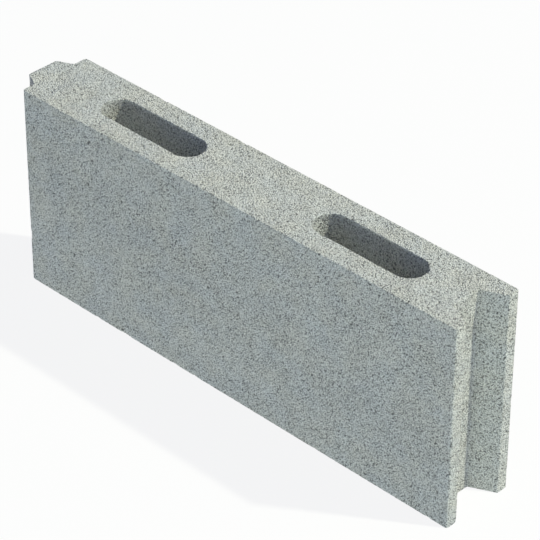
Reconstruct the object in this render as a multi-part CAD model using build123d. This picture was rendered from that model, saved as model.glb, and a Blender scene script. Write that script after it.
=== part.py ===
from build123d import *
import os

# Concrete partition block with a tongue, a groove and two slots, cast as one piece.
# Millimetres, +Z up. The block stands on its lower bed with its length along X,
# the tongue at -X and the groove at +X.
# The origin is on the lower bed, at the centre of the overall outline, tongue included.

# Body
LENGTH = 500.0               # from the shoulders beside the tongue to the ends of the groove's arms
THICKNESS = 75.0
HEIGHT = 200.0

# Tongue, a trapezium in plan
SHOULDER_WIDTH = 14.0        # flat left beside the tongue on each side
TONGUE_FLANK_WIDTH = 7.5     # how far each flank leans in across the thickness
TONGUE_PROJECTION = 15.5

# Groove, cut to take the tongue of the next block
GROOVE_SIDE_CLEARANCE = 2.25  # beside the tongue's root, on each side
GROOVE_END_CLEARANCE = 8.0    # between the tongue's tip and the floor of the groove

# Slots through the height, left by two moulding cores
SLOT_COUNT = 2
SLOT_LENGTH = 116.0          # at the top bed
SLOT_WIDTH = 32.0            # at the top bed
SLOT_DRAFT = 0.5             # degrees, so that the cores draw out upwards

# Upright edges
CORNER_RADIUS = 2.5          # four outer corners of the body
TIP_RADIUS = 1.5             # outer edges of the tongue
ARM_RADIUS = 1.5             # inner edges of the groove's arms
ROOT_RADIUS = 1.5            # inner edges, beside the tongue and in the groove

# Sizes across the thickness, measured from the middle plane
half_thickness = THICKNESS / 2
tongue_root_half = half_thickness - SHOULDER_WIDTH
tongue_tip_half = tongue_root_half - TONGUE_FLANK_WIDTH
groove_mouth_half = tongue_root_half + GROOVE_SIDE_CLEARANCE

# The flanks of the groove run parallel to those of the tongue
groove_depth = TONGUE_PROJECTION + GROOVE_END_CLEARANCE
flank_slope = TONGUE_FLANK_WIDTH / TONGUE_PROJECTION
groove_floor_half = groove_mouth_half - groove_depth * flank_slope

# Places along the length
overall_length = LENGTH + TONGUE_PROJECTION
tip_x = -overall_length / 2
shoulder_x = tip_x + TONGUE_PROJECTION
end_x = overall_length / 2
groove_floor_x = end_x - groove_depth
middle_x = (shoulder_x + end_x) / 2

# Spaced over the length so that the slots line up through courses laid in half bond
slot_spacing = LENGTH / SLOT_COUNT


def half_outline():
    """Corners of the half at +Y, from the tongue to the groove, each with its radius."""
    return [
        (tip_x, tongue_tip_half, TIP_RADIUS),
        (shoulder_x, tongue_root_half, ROOT_RADIUS),
        (shoulder_x, half_thickness, CORNER_RADIUS),
        (end_x, half_thickness, CORNER_RADIUS),
        (end_x, groove_mouth_half, ARM_RADIUS),
        (groove_floor_x, groove_floor_half, ROOT_RADIUS),
    ]


def whole_outline():
    """The same corners followed by their mirror images, back to the tongue."""
    half = half_outline()
    mirrored = [(x, -y, radius) for x, y, radius in reversed(half)]
    return half + mirrored


def rounded_plan():
    """Plan of the block without its slots: a closed outline with rounded corners."""
    corners = whole_outline()
    points = [(x, y) for x, y, radius in corners]
    radii = [radius for x, y, radius in corners]
    return make_face(FilletPolyline(*points, radius=radii, close=True))


def slot_cores():
    """Moulding cores, as long as the block is high, that narrow downwards by the draft."""
    core_plan = Plane.XY.offset(HEIGHT) * SlotOverall(SLOT_LENGTH, SLOT_WIDTH)
    core = extrude(core_plan, amount=-HEIGHT, taper=SLOT_DRAFT)
    places = Pos(middle_x, 0, 0) * GridLocations(slot_spacing, 0, SLOT_COUNT, 1)
    return [place * core for place in places]


def concrete_block():
    """The body extruded from its plan, less the cores of the slots."""
    body = extrude(rounded_plan(), amount=HEIGHT)
    for core in slot_cores():
        body -= core
    return body


block = concrete_block()
block.label = "concrete_block"
os.makedirs("parts", exist_ok=True)
export_step(block, "parts/concrete_block.step")
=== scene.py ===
import math
import random

import bmesh
import bpy
from bpy.props import FloatProperty, FloatVectorProperty, IntProperty, PointerProperty
from bpy.types import Operator, Panel, PropertyGroup
from bpy.utils import register_class, unregister_class
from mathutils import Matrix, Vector, noise
from mathutils.kdtree import KDTree


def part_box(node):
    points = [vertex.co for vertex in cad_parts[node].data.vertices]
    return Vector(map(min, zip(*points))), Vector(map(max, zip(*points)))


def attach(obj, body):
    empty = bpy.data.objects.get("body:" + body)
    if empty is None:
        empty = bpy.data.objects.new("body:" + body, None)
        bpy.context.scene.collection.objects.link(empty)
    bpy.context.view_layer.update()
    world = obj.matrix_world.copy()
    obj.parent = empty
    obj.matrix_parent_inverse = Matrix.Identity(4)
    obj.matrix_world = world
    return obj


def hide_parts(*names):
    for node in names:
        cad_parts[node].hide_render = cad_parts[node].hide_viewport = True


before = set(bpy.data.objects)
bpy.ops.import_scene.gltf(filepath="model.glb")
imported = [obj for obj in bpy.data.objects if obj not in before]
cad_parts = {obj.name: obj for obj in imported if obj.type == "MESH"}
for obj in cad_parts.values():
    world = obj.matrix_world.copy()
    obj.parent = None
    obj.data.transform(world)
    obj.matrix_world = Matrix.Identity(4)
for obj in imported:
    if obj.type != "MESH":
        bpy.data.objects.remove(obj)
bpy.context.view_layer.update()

bl_info = {
    "name": "Tongue and groove concrete block",
    "version": (1, 0, 0),
    "blender": (4, 5, 0),
    "location": "View3D > Sidebar > Concrete block",
    "description": "Casts a slotted partition block and sets up a studio round it",
    "category": "Add Mesh",
}

NODE = "concrete_block"
LOW, HIGH = (Vector(corner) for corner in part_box(NODE))

# Angles between neighbouring faces past which an edge counts as an arris, or as the rim of a bed
ARRIS_ANGLE = math.radians(12)
RIM_ANGLE = math.radians(45)
# Metres within which two places count as the same
TOUCHING = 1e-6
# Length past which an edge beside an arris is halved, in shares of the grid
LONGEST_AT_ARRIS = 0.55
# Least area of a face that can hold a pit, in shares of a square of the grid
WHOLE_FACE = 0.9
# Rim round a pit in shares of the grid, least and added, and its depth in shares of the average
PIT_RIM = 0.18
PIT_RIM_SPREAD = 0.12
PIT_DEPTHS = (0.5, 1.5)
# How far the corners of a pit stray each way, in shares of its rim
PIT_STRAY = 0.4

# Cells per metre of the noise in the relief
SKIN_GRAINS = 520
SKIN_SWELLS = 90
BROKEN_GRAINS = 410
CHIPS = 95
# Shifts of the wear's noise, which set it apart from the skin's
BROKEN_GRAINS_SHIFT = Vector((3, 1, 7))
CHIPS_SHIFT = Vector((9, 4, 2))
# Share of the skin that follows its grains, and levels of noise past which an arris is worn
SKIN_GRAIN_SHARE = 0.65
BROKEN_ABOVE = -0.15
CHIPPED_ABOVE = 0.38
# How steeply the sides of a chip fall, and the power by which wear fades away from the arris
CHIP_STEEPNESS = 6
WEAR_FADE = 1.5

# Turn of the patterns in the concrete, in radians, so that none lies along a face of the block
PATTERN_TURN = (0.5, 0.9, 0.35)
# Cells per metre of the patterns wider than a grain
LAYERS = 17.0
PATCHES = 28.0
WARM_PATCHES = 35.0
WAVES = 32.0
# Height of a layer against its length, and the shift of the pattern of layers
LAYER_FLATNESS = 0.15
LAYER_SHIFT = (0.3, 0.7, 0.11)
# Usual distance to the middle of a grain, in grain sizes, and cells of fine sand across a grain
GRAIN_REACH = 0.52
SAND_IN_GRAIN = 1.8
# Levels of noise at which a pore begins and is full, and at which the tint is full
PORE_BEGINS = -0.12
PORE_FULL = -0.27
TINT_FULL = 0.15
# Tones that show as paste and as sand, on a scale from pore to pale sand
PASTE_TONE = 0.3
SAND_TONE = 0.55
# Height of the fine sand and depth of a pore, in shares of the bump depth
SAND_RELIEF = 0.3
PORE_RELIEF = 0.7

WHITE = (1, 1, 1, 1)
FLOOR_PAINT = (0.9, 0.9, 0.9, 1)
# Width of the camera's sensor in millimetres
SENSOR_WIDTH = 36.0


class BlockSection(PropertyGroup):
    """Plan of the block: tongue, groove, slots and upright edges."""

    shoulder_width: FloatProperty(
        name="Shoulder width", description="Flat beside the tongue on each side",
        default=0.014, min=0.0, unit="LENGTH")
    tongue_flank_width: FloatProperty(
        name="Tongue flank width", description="How far each flank of the tongue leans in",
        default=0.0075, min=0.0, unit="LENGTH")
    tongue_projection: FloatProperty(
        name="Tongue projection", description="From the shoulders to the tip of the tongue",
        default=0.0155, min=0.0, unit="LENGTH")
    groove_side_clearance: FloatProperty(
        name="Groove side clearance", description="Beside the root of the next block's tongue",
        default=0.00225, min=0.0, unit="LENGTH")
    groove_end_clearance: FloatProperty(
        name="Groove end clearance", description="Between that tongue's tip and the groove's floor",
        default=0.008, min=0.0, unit="LENGTH")
    slot_length: FloatProperty(
        name="Slot length", description="Length of each slot at the top bed",
        default=0.116, min=0.0, unit="LENGTH")
    slot_width: FloatProperty(
        name="Slot width", description="Width of each slot at the top bed",
        default=0.032, min=0.0, unit="LENGTH")
    slot_count: IntProperty(
        name="Slots", description="Slots, spread evenly over the length", default=2, min=1)
    slot_draft: FloatProperty(
        name="Slot draft", description="Lean of the slot walls, which close in downwards",
        default=math.radians(0.5), min=0.0, subtype="ANGLE")
    corner_radius: FloatProperty(
        name="Corner radius", description="Rounding of the body's four upright corners",
        default=0.0025, min=0.0, unit="LENGTH")
    joint_radius: FloatProperty(
        name="Joint radius", description="Rounding of the upright edges of tongue and groove",
        default=0.0015, min=0.0, unit="LENGTH")
    rim_radius: FloatProperty(
        name="Rim radius", description="Rounding of every edge of the two beds",
        default=0.0005, min=0.0, unit="LENGTH")


class SurfaceRelief(PropertyGroup):
    """Mesh fineness and the relief that is cut into the faces, always inwards."""

    grid: FloatProperty(
        name="Grid", description="Spacing of the mesh on open faces",
        default=0.0032, min=0.001, unit="LENGTH")
    arris_band: FloatProperty(
        name="Arris band", description="Width beside each arris that wears and has a finer mesh",
        default=0.0035, min=0.0, unit="LENGTH")
    skin_depth: FloatProperty(
        name="Skin depth", description="Depth of the open grain of the moulded faces",
        default=0.0002, min=0.0, unit="LENGTH")
    wear_depth: FloatProperty(
        name="Wear depth", description="How far grains have broken out along an arris",
        default=0.00035, min=0.0, unit="LENGTH")
    chip_depth: FloatProperty(
        name="Chip depth", description="Depth of the few larger chips along an arris",
        default=0.0008, min=0.0, unit="LENGTH")
    pits: IntProperty(
        name="Pits", description="Air pits that are open at the surface", default=1200, min=0)
    pit_depth: FloatProperty(
        name="Pit depth", description="Depth of an average pit",
        default=0.0005, min=0.0, unit="LENGTH")
    seed: IntProperty(
        name="Seed", description="Seed of the pits and of all relief", default=7, min=0)


class ConcreteFinish(PropertyGroup):
    """Colours and grain of the concrete."""

    # Painted shade: the darkest tone, used in the open pores, stands for the shade that falls
    # inside them
    pore: FloatVectorProperty(
        name="Pore", description="Colour inside the open pores",
        default=(0.113, 0.116, 0.112), subtype="COLOR", size=3, min=0.0, max=1.0)
    paste: FloatVectorProperty(
        name="Cement paste", description="Colour of the paste between the grains",
        default=(0.395, 0.403, 0.388), subtype="COLOR", size=3, min=0.0, max=1.0)
    sand: FloatVectorProperty(
        name="Sand", description="Colour of an average sand grain",
        default=(0.587, 0.60, 0.575), subtype="COLOR", size=3, min=0.0, max=1.0)
    pale_sand: FloatVectorProperty(
        name="Pale sand", description="Colour of the palest grains",
        default=(0.895, 0.91, 0.875), subtype="COLOR", size=3, min=0.0, max=1.0)
    cool_tint: FloatVectorProperty(
        name="Cool tint", description="Multiplies the colour where the concrete is coolest",
        default=(0.985, 0.998, 1.02), subtype="COLOR", size=3, min=0.0, soft_max=2.0)
    warm_tint: FloatVectorProperty(
        name="Warm tint", description="Multiplies the colour where the concrete is warmest",
        default=(1.015, 1.003, 0.978), subtype="COLOR", size=3, min=0.0, soft_max=2.0)
    base_tone: FloatProperty(
        name="Base tone", description="Tone, from pore to pale sand, before the grain is added",
        default=0.575, min=0.0, max=1.0, subtype="FACTOR")
    grain_shading: FloatProperty(
        name="Grain shading", description="How much paler a grain is in its middle",
        default=1.40, min=0.0)
    grain_variety: FloatProperty(
        name="Grain variety", description="How much the tone changes from grain to grain",
        default=0.30, min=0.0)
    sand_contrast: FloatProperty(
        name="Sand contrast", description="How much the tone changes with the fine sand",
        default=0.92, min=0.0)
    # Painted shade: the pores are made darker in colour, as the shade inside them would make them
    pore_painted_shade: FloatProperty(
        name="Pore shading", description="How much darker a pore is than its surroundings",
        default=0.2, min=0.0)
    grain_size: FloatProperty(
        name="Grain size", description="Distance between neighbouring sand grains",
        default=0.00125, min=0.0001, unit="LENGTH")
    pore_spacing: FloatProperty(
        name="Pore spacing", description="Usual distance between open pores",
        default=0.0020, min=0.0001, unit="LENGTH")
    patchiness: FloatProperty(
        name="Patchiness", description="How much the tone changes from place to place",
        default=0.14, min=0.0, max=1.0, subtype="FACTOR")
    bump_depth: FloatProperty(
        name="Bump depth", description="Height of the fine grain that the mesh is too coarse for",
        default=0.0012, min=0.0, unit="LENGTH")
    wave_depth: FloatProperty(
        name="Wave depth", description="Height of the soft unevenness of the cast faces",
        default=0.0075, min=0.0, unit="LENGTH")
    roughness: FloatProperty(
        name="Roughness", description="Roughness of the surface",
        default=0.93, min=0.0, max=1.0, subtype="FACTOR")
    specular: FloatProperty(
        name="Specular", description="Strength of the surface's faint gloss",
        default=0.3, min=0.0, max=1.0, subtype="FACTOR")


class StudioSetup(PropertyGroup):
    """Camera and lights."""

    camera_place: FloatVectorProperty(
        name="Camera place", description="Where the camera stands",
        default=(1.3882, -1.4108, 1.5077), subtype="TRANSLATION", unit="LENGTH", size=3)
    camera_aim: FloatVectorProperty(
        name="Camera aim", description="Direction in which the camera looks",
        default=(-0.56837, 0.58665, -0.57689), subtype="DIRECTION", size=3)
    camera_roll: FloatProperty(
        name="Camera roll", description="Turn of the camera about its own axis",
        default=math.radians(0.258), subtype="ANGLE")
    focal_length: FloatProperty(
        name="Focal length", description="In millimetres, on a sensor 36 mm wide",
        default=191.3, min=1.0)
    key_direction: FloatProperty(
        name="Key direction", description="Round from the block's length, towards its back",
        default=math.radians(32.6), subtype="ANGLE")
    key_height: FloatProperty(
        name="Key height", description="Height of the key lamp above the floor, as an angle",
        default=math.radians(51), subtype="ANGLE")
    key_light: FloatVectorProperty(
        name="Key light", description="Light on a face square on to the key lamp",
        default=(0.92, 0.92, 0.75), subtype="COLOR", size=3, min=0.0, soft_max=2.0)
    key_distance: FloatProperty(
        name="Key distance", description="From the middle of the block to the key lamp",
        default=15.0, min=0.1, unit="LENGTH")
    key_size: FloatVectorProperty(
        name="Key size", description="Width and height of the key lamp",
        default=(0.5, 0.5), size=2, min=0.0, unit="LENGTH")
    fill_direction: FloatProperty(
        name="Fill direction", description="Round from the block's length, towards its back",
        default=math.radians(-52), subtype="ANGLE")
    fill_height: FloatProperty(
        name="Fill height", description="Height of the fill lamp above the floor, as an angle",
        default=math.radians(3), subtype="ANGLE")
    fill_light: FloatVectorProperty(
        name="Fill light", description="Light on a face square on to the fill lamp",
        default=(0.31, 0.353, 0.32), subtype="COLOR", size=3, min=0.0, soft_max=2.0)
    fill_distance: FloatProperty(
        name="Fill distance", description="From the middle of the block to the fill lamp",
        default=4.0, min=0.1, unit="LENGTH")
    fill_size: FloatVectorProperty(
        name="Fill size", description="Width and height of the fill lamp",
        default=(2.6, 0.4), size=2, min=0.0, unit="LENGTH")
    sky_light: FloatVectorProperty(
        name="Sky light", description="Light from everywhere above the floor",
        default=(0.205, 0.243, 0.345), subtype="COLOR", size=3, min=0.0, soft_max=2.0)
    floor_light: FloatVectorProperty(
        name="Floor light", description="Light that the white floor sends back up",
        default=(0.52, 0.54, 0.545), subtype="COLOR", size=3, min=0.0, soft_max=2.0)
    floor_white: FloatProperty(
        name="Floor white", description="Share of plain white in the floor; the rest takes shadows",
        default=0.87, min=0.0, max=1.0, subtype="FACTOR")
    floor_reach: FloatProperty(
        name="Floor reach", description="From the middle of the floor to each side",
        default=12.0, min=0.1, unit="LENGTH")


class BlockSettings(PropertyGroup):
    """All settings of the add-on."""

    section: PointerProperty(type=BlockSection)
    relief: PointerProperty(type=SurfaceRelief)
    finish: PointerProperty(type=ConcreteFinish)
    studio: PointerProperty(type=StudioSetup)


def plan_corners(section):
    """Corners of the plan with their radii, once round from the tongue's tip."""
    half_thickness = (HIGH.y - LOW.y) / 2
    shoulder_x = LOW.x + section.tongue_projection
    root_half = half_thickness - section.shoulder_width
    tip_half = root_half - section.tongue_flank_width
    mouth_half = root_half + section.groove_side_clearance
    groove_depth = section.tongue_projection + section.groove_end_clearance
    flank_slope = section.tongue_flank_width / section.tongue_projection
    floor_half = mouth_half - groove_depth * flank_slope
    half = [
        (LOW.x, tip_half, section.joint_radius),
        (shoulder_x, root_half, section.joint_radius),
        (shoulder_x, half_thickness, section.corner_radius),
        (HIGH.x, half_thickness, section.corner_radius),
        (HIGH.x, mouth_half, section.joint_radius),
        (HIGH.x - groove_depth, floor_half, section.joint_radius),
    ]
    return half + [(x, -y, radius) for x, y, radius in reversed(half)]


def draw_outline(bm, section, segments=3):
    """Edges of the outline in plan, with its corners rounded."""
    corners = plan_corners(section)
    verts = [bm.verts.new((x, y, LOW.z)) for x, y, radius in corners]
    face = bm.faces.new(verts)
    for index, (x, y, radius) in enumerate(corners):
        here = Vector((x, y))
        before = Vector(corners[index - 1][:2])
        after = Vector(corners[(index + 1) % len(corners)][:2])
        turn = (here - before).angle(after - here)
        bmesh.ops.bevel(
            bm, geom=[verts[index]], offset=radius * math.tan(turn / 2), offset_type="OFFSET",
            segments=segments, profile=0.5, affect="VERTICES", material=-1)
    bmesh.ops.delete(bm, geom=list(bm.faces), context="FACES_ONLY")


def slot_centres(section):
    """Middle of each slot along X."""
    length = HIGH.x - LOW.x - section.tongue_projection
    spacing = length / section.slot_count
    first = LOW.x + section.tongue_projection + spacing / 2
    return [first + spacing * index for index in range(section.slot_count)]


def slot_ends(section):
    """Centre of the round at each end of each slot, on the lower bed, with its side."""
    reach = (section.slot_length - section.slot_width) / 2
    return [(Vector((centre + side * reach, 0, LOW.z)), side)
            for centre in slot_centres(section) for side in (1, -1)]


def draw_slots(bm, section, steps=14):
    """Edges of the slots in plan: two half rounds each, joined by straight sides."""
    radius = section.slot_width / 2
    arcs = []
    for centre, side in slot_ends(section):
        start = bm.verts.new(centre - Vector((0, side * radius, 0)))
        spun = bmesh.ops.spin(
            bm, geom=[start], cent=centre, axis=(0, 0, 1), angle=math.pi, steps=steps)
        stop = next(item for item in spun["geom_last"] if isinstance(item, bmesh.types.BMVert))
        arcs.append((start, stop))
    for right, left in zip(arcs[::2], arcs[1::2]):
        bm.edges.new((right[1], left[0]))
        bm.edges.new((left[1], right[0]))


def raise_walls(bm):
    """Fills the plan between outline and slots, and extrudes it to the full height."""
    filled = bmesh.ops.triangle_fill(
        bm, use_beauty=True, use_dissolve=False, edges=list(bm.edges), normal=(0, 0, 1))
    plan = [item for item in filled["geom"] if isinstance(item, bmesh.types.BMFace)]
    raised = bmesh.ops.extrude_face_region(bm, geom=plan)
    top = [item for item in raised["geom"] if isinstance(item, bmesh.types.BMVert)]
    bmesh.ops.translate(bm, verts=top, vec=(0, 0, HIGH.z - LOW.z))
    bmesh.ops.recalc_face_normals(bm, faces=bm.faces)


def taper_slots(bm, section):
    """Draws the lower edges of the slots in by the draft."""
    radius = section.slot_width / 2
    draft = (HIGH.z - LOW.z) * math.tan(section.slot_draft)
    share = (radius - draft) / radius
    for centre, side in slot_ends(section):
        for vert in bm.verts:
            offset = vert.co - centre
            if abs(offset.length - radius) < TOUCHING and offset.x * side > -TOUCHING:
                vert.co = centre + offset * share


def round_rims(bm, section, segments=2):
    """Rounds every edge between a bed and a wall."""
    rims = [edge for edge in bm.edges
            if abs(edge.verts[0].co.z - edge.verts[1].co.z) < TOUCHING
            and edge.calc_face_angle() > RIM_ANGLE]
    bmesh.ops.bevel(
        bm, geom=rims, offset=section.rim_radius, offset_type="OFFSET",
        segments=segments, profile=0.5, affect="EDGES", material=-1)


def cut_grid(bm, spacing):
    """Cuts all faces by evenly spaced planes across each axis."""
    for axis in range(3):
        normal = Vector([float(index == axis) for index in range(3)])
        count = round((HIGH[axis] - LOW[axis]) / spacing)
        for step in range(1, count):
            place = LOW[axis] + (HIGH[axis] - LOW[axis]) * step / count
            bmesh.ops.bisect_plane(
                bm, geom=bm.verts[:] + bm.edges[:] + bm.faces[:], dist=TOUCHING,
                plane_co=normal * place, plane_no=normal)


def in_order(bm):
    """The same mesh with its vertices and faces sorted by place, so that each run is alike."""
    verts = sorted(bm.verts, key=lambda vert: vert.co[:])
    for rank, vert in enumerate(verts):
        vert.index = rank
    loops = []
    for face in bm.faces:
        ranks = [vert.index for vert in face.verts]
        first = ranks.index(min(ranks))
        loops.append(ranks[first:] + ranks[:first])
    ordered = bmesh.new()
    corners = [ordered.verts.new(vert.co) for vert in verts]
    for loop in sorted(loops):
        ordered.faces.new([corners[rank] for rank in loop])
    bm.free()
    return ordered


def arris_tree(bm):
    """Search tree of every vertex that lies on an arris."""
    arris = {vert for edge in bm.edges if edge.calc_face_angle(0) > ARRIS_ANGLE
             for vert in edge.verts}
    tree = KDTree(len(arris))
    for index, vert in enumerate(sorted(arris, key=lambda vert: vert.index)):
        tree.insert(vert.co, index)
    tree.balance()
    return tree


def arris_distance(tree, point):
    """From a point to the nearest vertex on an arris."""
    place, index, distance = tree.find(point)
    return distance


def refine_arrises(bm, tree, relief):
    """Halves the longer edges beside each arris."""
    longest = relief.grid * LONGEST_AT_ARRIS
    band = []
    for edge in bm.edges:
        middle = (edge.verts[0].co + edge.verts[1].co) / 2
        if edge.calc_length() > longest and arris_distance(tree, middle) < relief.arris_band:
            band.append(edge)
    bmesh.ops.subdivide_edges(bm, edges=band, cuts=1, use_grid_fill=True)


def open_pits(bm, tree, relief, chance, sorts=6):
    """Sinks small uneven pits, of a few sorts, into faces picked away from the arrises."""
    full_size = relief.grid ** 2 * WHOLE_FACE
    open_faces = [face for face in bm.faces
                  if len(face.verts) == 4 and face.calc_area() > full_size
                  and arris_distance(tree, face.calc_center_median()) > relief.arris_band]
    picked = chance.sample(open_faces, min(relief.pits, len(open_faces)))
    for sort in range(sorts):
        faces = picked[sort::sorts]
        rim = relief.grid * (PIT_RIM + PIT_RIM_SPREAD * sort / sorts)
        depth = relief.pit_depth * chance.uniform(*PIT_DEPTHS)
        bmesh.ops.inset_individual(
            bm, faces=faces, thickness=rim, depth=-depth, use_even_offset=True)
        for face in faces:
            for vert in face.verts:
                stray = [chance.uniform(-PIT_STRAY, PIT_STRAY) for axis in range(3)]
                shift = Vector(stray) * rim
                vert.co += shift - shift.project(face.normal)


def skin_at(place, relief):
    """Depth of the open grain at a place in the noise."""
    grain = noise.noise(place * SKIN_GRAINS) * 0.5 + 0.5
    swell = noise.noise(place * SKIN_SWELLS) * 0.5 + 0.5
    return relief.skin_depth * (SKIN_GRAIN_SHARE * grain + (1 - SKIN_GRAIN_SHARE) * swell)


def wear_at(place, relief):
    """Depth of broken-out grains and chips at a place in the noise, on an arris."""
    broken = max(0.0, noise.noise(place * BROKEN_GRAINS + BROKEN_GRAINS_SHIFT) - BROKEN_ABOVE)
    chipped = max(0.0, noise.noise(place * CHIPS + CHIPS_SHIFT) - CHIPPED_ABOVE)
    return relief.wear_depth * broken + relief.chip_depth * min(1.0, CHIP_STEEPNESS * chipped)


def relief_at(point, tree, relief):
    """How deep the surface lies below the smooth form at a point."""
    place = point + Vector((relief.seed,) * 3)
    near = max(0.0, 1 - arris_distance(tree, point) / relief.arris_band)
    return skin_at(place, relief) + wear_at(place, relief) * near ** WEAR_FADE


def roughen(bm, tree, relief):
    """Moves every vertex inwards by the relief."""
    bm.normal_update()
    moves = [vert.normal * relief_at(vert.co, tree, relief) for vert in bm.verts]
    for vert, move in zip(bm.verts, moves):
        vert.co -= move


def keep_in_box(bm):
    """Brings any vertex that passed the block's box back to it."""
    for vert in bm.verts:
        for axis in range(3):
            vert.co[axis] = min(max(vert.co[axis], LOW[axis]), HIGH[axis])


def cast_block_mesh(section, relief):
    """Mesh of the block, with rounded edges, open pits and rough faces."""
    chance = random.Random(relief.seed)
    bm = bmesh.new()
    draw_outline(bm, section)
    draw_slots(bm, section)
    raise_walls(bm)
    taper_slots(bm, section)
    round_rims(bm, section)
    cut_grid(bm, relief.grid)
    bm = in_order(bm)
    # Closes up the slivers that the grid leaves beside other edges
    closest = section.rim_radius / 4
    bmesh.ops.remove_doubles(bm, verts=bm.verts, dist=closest)
    bm = in_order(bm)
    bm.normal_update()
    bm.verts.index_update()
    tree = arris_tree(bm)
    refine_arrises(bm, tree, relief)
    open_pits(bm, tree, relief, chance)
    roughen(bm, tree, relief)
    keep_in_box(bm)
    bmesh.ops.triangulate(bm, faces=bm.faces, quad_method="BEAUTY", ngon_method="BEAUTY")
    mesh = bpy.data.meshes.new("cast_block")
    bm.to_mesh(mesh)
    bm.free()
    mesh.shade_smooth()
    return mesh


class Nodes:
    """Adds nodes to a tree, from left to right, and links them."""

    def __init__(self, tree):
        self.tree = tree
        tree.nodes.clear()
        self.column = 0

    def add(self, kind, inputs=None, **settings):
        """A new node; an input is a value, or the socket that feeds it."""
        node = self.tree.nodes.new(kind)
        node.location = (self.column * 200, 0)
        self.column += 1
        for name, value in settings.items():
            setattr(node, name, value)
        for name, value in (inputs or {}).items():
            if isinstance(value, bpy.types.NodeSocket):
                self.tree.links.new(value, node.inputs[name])
            else:
                node.inputs[name].default_value = value
        return node

    def math(self, operation, first, second, third=0.0):
        """Result of a sum on two or three values."""
        node = self.add("ShaderNodeMath", {0: first, 1: second, 2: third}, operation=operation)
        return node.outputs[0]

    def add_up(self, start, parts):
        """The start plus the value of each part times its weight."""
        total = start
        for value, weight in parts:
            total = self.math("MULTIPLY_ADD", value, weight, total)
        return total

    def stretch(self, value, low, high):
        """0 at the low value and 1 at the high one, even between them and level past them."""
        node = self.add("ShaderNodeMapRange", {"Value": value, "From Min": low, "From Max": high})
        return node.outputs["Result"]

    def blend(self, share, first, second, blend_type="MIX"):
        """Two colours blended by a share."""
        # The node has sockets of every type; inputs 6 and 7 and output 2 are those for colours
        node = self.add("ShaderNodeMix", {0: share, 6: first, 7: second},
                        data_type="RGBA", blend_type=blend_type)
        return node.outputs[2]

    def ramp(self, value, stops):
        """Colour for a value, between stops that each give a value and its colour."""
        node = self.add("ShaderNodeValToRGB", {"Fac": value})
        elements = node.color_ramp.elements
        while len(elements) < len(stops):
            elements.new(0.5)
        for element, (position, colour) in zip(elements, stops):
            element.position = position
            element.color = (*colour, 1)
        return node.outputs["Color"]

    def blend_shaders(self, share, first, second):
        """Two shaders blended by a share."""
        node = self.add("ShaderNodeMixShader", {0: share, 1: first, 2: second})
        return node.outputs[0]

    def noise(self, where, scale, detail=1.0):
        """Value of a noise pattern, from -0.5 to 0.5."""
        node = self.add("ShaderNodeTexNoise", {"Vector": where, "Scale": scale, "Detail": detail})
        return self.math("SUBTRACT", node.outputs["Fac"], 0.5)


def concrete_material(finish):
    """Fine-grained grey concrete: sand grains in paste, pores darkened by painted shade, soft
    layers and patches.
    """
    material = bpy.data.materials.new("fine_grey_concrete")
    material.use_nodes = True
    nodes = Nodes(material.node_tree)
    place = nodes.add("ShaderNodeTexCoord").outputs["Object"]
    turned = nodes.add("ShaderNodeMapping", {"Vector": place, "Rotation": PATTERN_TURN})
    where = turned.outputs["Vector"]

    grains = nodes.add("ShaderNodeTexVoronoi", {"Vector": where, "Scale": 1 / finish.grain_size})
    grain_colour = nodes.add("ShaderNodeSeparateColor", {"Color": grains.outputs["Color"]})
    grain_tone = nodes.math("SUBTRACT", grain_colour.outputs["Red"], 0.5)
    dome = nodes.math("SUBTRACT", GRAIN_REACH, grains.outputs["Distance"])
    fine_sand = nodes.noise(where, SAND_IN_GRAIN / finish.grain_size)
    pore = nodes.stretch(nodes.noise(where, 1 / finish.pore_spacing), PORE_BEGINS, PORE_FULL)

    flattened = nodes.add("ShaderNodeMapping", {
        "Vector": place, "Location": LAYER_SHIFT, "Scale": (LAYER_FLATNESS, LAYER_FLATNESS, 1.0)})
    layers = nodes.noise(flattened.outputs["Vector"], LAYERS)
    patches = nodes.noise(where, PATCHES, detail=2.0)
    warmth = nodes.noise(where, WARM_PATCHES, detail=3.0)
    waves = nodes.noise(where, WAVES, detail=4.0)

    # The pores' darkening of the tone is painted shade; their dip in the height below is real
    # relief
    tone = nodes.add_up(finish.base_tone, (
        (dome, finish.grain_shading),
        (grain_tone, finish.grain_variety),
        (fine_sand, finish.sand_contrast),
        (pore, -finish.pore_painted_shade),
        (layers, finish.patchiness),
        (patches, finish.patchiness)))
    grey = nodes.ramp(tone, (
        (0.0, finish.pore),
        (PASTE_TONE, finish.paste),
        (SAND_TONE, finish.sand),
        (1.0, finish.pale_sand)))
    tint_share = nodes.stretch(warmth, -TINT_FULL, TINT_FULL)
    tint = nodes.blend(tint_share, (*finish.cool_tint, 1), (*finish.warm_tint, 1))
    colour = nodes.blend(1.0, grey, tint, "MULTIPLY")

    height = nodes.add_up(dome, (
        (fine_sand, SAND_RELIEF),
        (pore, -PORE_RELIEF),
        (waves, finish.wave_depth / finish.bump_depth)))
    bump = nodes.add("ShaderNodeBump", {
        "Strength": 1.0, "Distance": finish.bump_depth, "Height": height})
    shader = nodes.add("ShaderNodeBsdfPrincipled", {
        "Base Color": colour, "Roughness": finish.roughness, "Specular IOR Level": finish.specular,
        "Normal": bump.outputs["Normal"]})
    nodes.add("ShaderNodeOutputMaterial", {"Surface": shader.outputs["BSDF"]})
    return material


def seen_directly(nodes):
    """1 for rays from the camera, mirrors and glass, which see the plain background."""
    path = nodes.add("ShaderNodeLightPath")
    seen = nodes.math("MAXIMUM", path.outputs["Is Camera Ray"], path.outputs["Is Glossy Ray"])
    return nodes.math("MAXIMUM", seen, path.outputs["Is Transmission Ray"])


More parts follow.
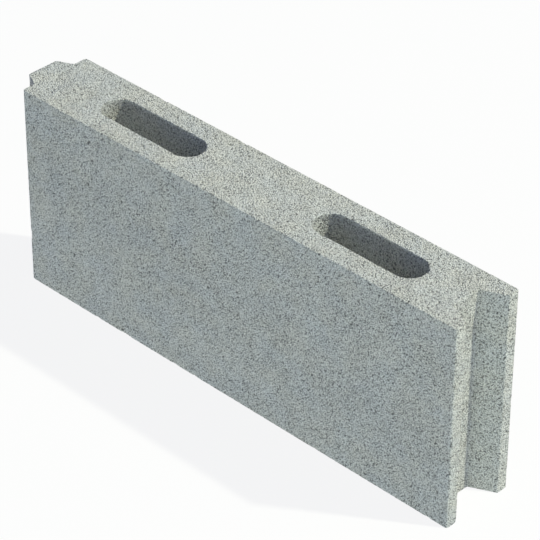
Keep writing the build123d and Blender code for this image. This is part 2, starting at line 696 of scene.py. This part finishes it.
def floor_material(light, white_share):
    """White floor that lights the block evenly from below and keeps a pale shadow."""
    material = bpy.data.materials.new("white_floor")
    material.use_nodes = True
    nodes = Nodes(material.node_tree)
    matt = nodes.add("ShaderNodeBsdfDiffuse", {"Color": FLOOR_PAINT})
    white = nodes.add("ShaderNodeEmission", {"Color": WHITE, "Strength": 1.0})
    seen = nodes.blend_shaders(white_share, matt.outputs[0], white.outputs[0])
    glow = nodes.add("ShaderNodeEmission", {"Color": (*light, 1), "Strength": 1.0})
    surface = nodes.blend_shaders(seen_directly(nodes), glow.outputs[0], seen)
    nodes.add("ShaderNodeOutputMaterial", {"Surface": surface})
    return material


def sky_world(light):
    """Even, cool light from above, seen as white."""
    world = bpy.data.worlds.new("studio_sky")
    world.use_nodes = True
    nodes = Nodes(world.node_tree)
    sky = nodes.add("ShaderNodeBackground", {"Color": (*light, 1), "Strength": 1.0})
    white = nodes.add("ShaderNodeBackground", {"Color": WHITE, "Strength": 1.0})
    surface = nodes.blend_shaders(seen_directly(nodes), sky.outputs[0], white.outputs[0])
    nodes.add("ShaderNodeOutputWorld", {"Surface": surface})
    return world


def add_floor(studio):
    """Floor under the lower bed, as part of the stage."""
    bm = bmesh.new()
    bmesh.ops.create_grid(bm, x_segments=1, y_segments=1, size=studio.floor_reach)
    bmesh.ops.translate(bm, verts=bm.verts, vec=(0, 0, LOW.z))
    mesh = bpy.data.meshes.new("floor")
    bm.to_mesh(mesh)
    bm.free()
    mesh.materials.append(floor_material(studio.floor_light, studio.floor_white))
    floor = bpy.data.objects.new("floor", mesh)
    bpy.context.scene.collection.objects.link(floor)


def add_lamp(name, direction, height, colour, distance, size):
    """Lamp aimed at the block. A white face square on to it shows the lamp's colour."""
    light = bpy.data.lights.new(name, "AREA")
    light.shape = "RECTANGLE"
    light.size, light.size_y = size
    light.energy = (math.pi * distance) ** 2
    light.color = colour
    lamp = bpy.data.objects.new(name, light)
    flat = math.cos(height)
    towards = Vector((flat * math.cos(direction), flat * math.sin(direction), math.sin(height)))
    lamp.location = (LOW + HIGH) / 2 + towards * distance
    lamp.rotation_euler = towards.to_track_quat("Z", "Y").to_euler()
    bpy.context.scene.collection.objects.link(lamp)


def add_camera(studio):
    """Camera at the photograph's place, level apart from its small roll."""
    data = bpy.data.cameras.new("camera")
    data.sensor_width = SENSOR_WIDTH
    data.lens = studio.focal_length
    camera = bpy.data.objects.new("camera", data)
    camera.location = studio.camera_place
    aim = Vector(studio.camera_aim).to_track_quat("-Z", "Y")
    camera.rotation_euler = aim.to_euler()
    camera.rotation_euler.rotate_axis("Z", studio.camera_roll)
    bpy.context.scene.collection.objects.link(camera)
    bpy.context.scene.camera = camera


class OBJECT_OT_cast_concrete_block(Operator):
    """Cast the concrete block in one piece, with its tongue, groove and slots"""

    bl_idname = "object.cast_concrete_block"
    bl_label = "Cast concrete block"

    def execute(self, context):
        settings = context.scene.concrete_block
        mesh = cast_block_mesh(settings.section, settings.relief)
        mesh.materials.append(concrete_material(settings.finish))
        block = bpy.data.objects.new("cast_block", mesh)
        context.scene.collection.objects.link(block)
        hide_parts(NODE)
        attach(block, "root")
        return {"FINISHED"}


class SCENE_OT_set_block_studio(Operator):
    """Set a white floor, an even sky, two lamps and the camera round the block"""

    bl_idname = "scene.set_block_studio"
    bl_label = "Set studio"

    def execute(self, context):
        studio = context.scene.concrete_block.studio
        add_floor(studio)
        context.scene.world = sky_world(studio.sky_light)
        add_lamp("key_lamp", studio.key_direction, studio.key_height, studio.key_light,
                 studio.key_distance, studio.key_size)
        add_lamp("fill_lamp", studio.fill_direction, studio.fill_height, studio.fill_light,
                 studio.fill_distance, studio.fill_size)
        add_camera(studio)
        context.scene.view_settings.view_transform = "Standard"
        return {"FINISHED"}


class VIEW3D_PT_concrete_block(Panel):
    """Settings and buttons of the concrete block"""

    bl_idname = "VIEW3D_PT_concrete_block"
    bl_label = "Concrete block"
    bl_space_type = "VIEW_3D"
    bl_region_type = "UI"
    bl_category = "Concrete block"

    def draw_group(self, group):
        """A box with every setting of a group."""
        box = self.layout.box()
        for name in group.__annotations__:
            box.prop(group, name)

    def draw(self, context):
        settings = context.scene.concrete_block
        self.draw_group(settings.section)
        self.draw_group(settings.relief)
        self.draw_group(settings.finish)
        self.layout.operator(OBJECT_OT_cast_concrete_block.bl_idname)
        self.draw_group(settings.studio)
        self.layout.operator(SCENE_OT_set_block_studio.bl_idname)


CLASSES = (
    BlockSection,
    SurfaceRelief,
    ConcreteFinish,
    StudioSetup,
    BlockSettings,
    OBJECT_OT_cast_concrete_block,
    SCENE_OT_set_block_studio,
    VIEW3D_PT_concrete_block,
)


def register():
    for cls in CLASSES:
        register_class(cls)
    bpy.types.Scene.concrete_block = PointerProperty(type=BlockSettings)


def unregister():
    del bpy.types.Scene.concrete_block
    for cls in reversed(CLASSES):
        unregister_class(cls)


def main():
    register()
    bpy.ops.object.cast_concrete_block()
    bpy.ops.scene.set_block_studio()


if __name__ == "__main__":
    main()
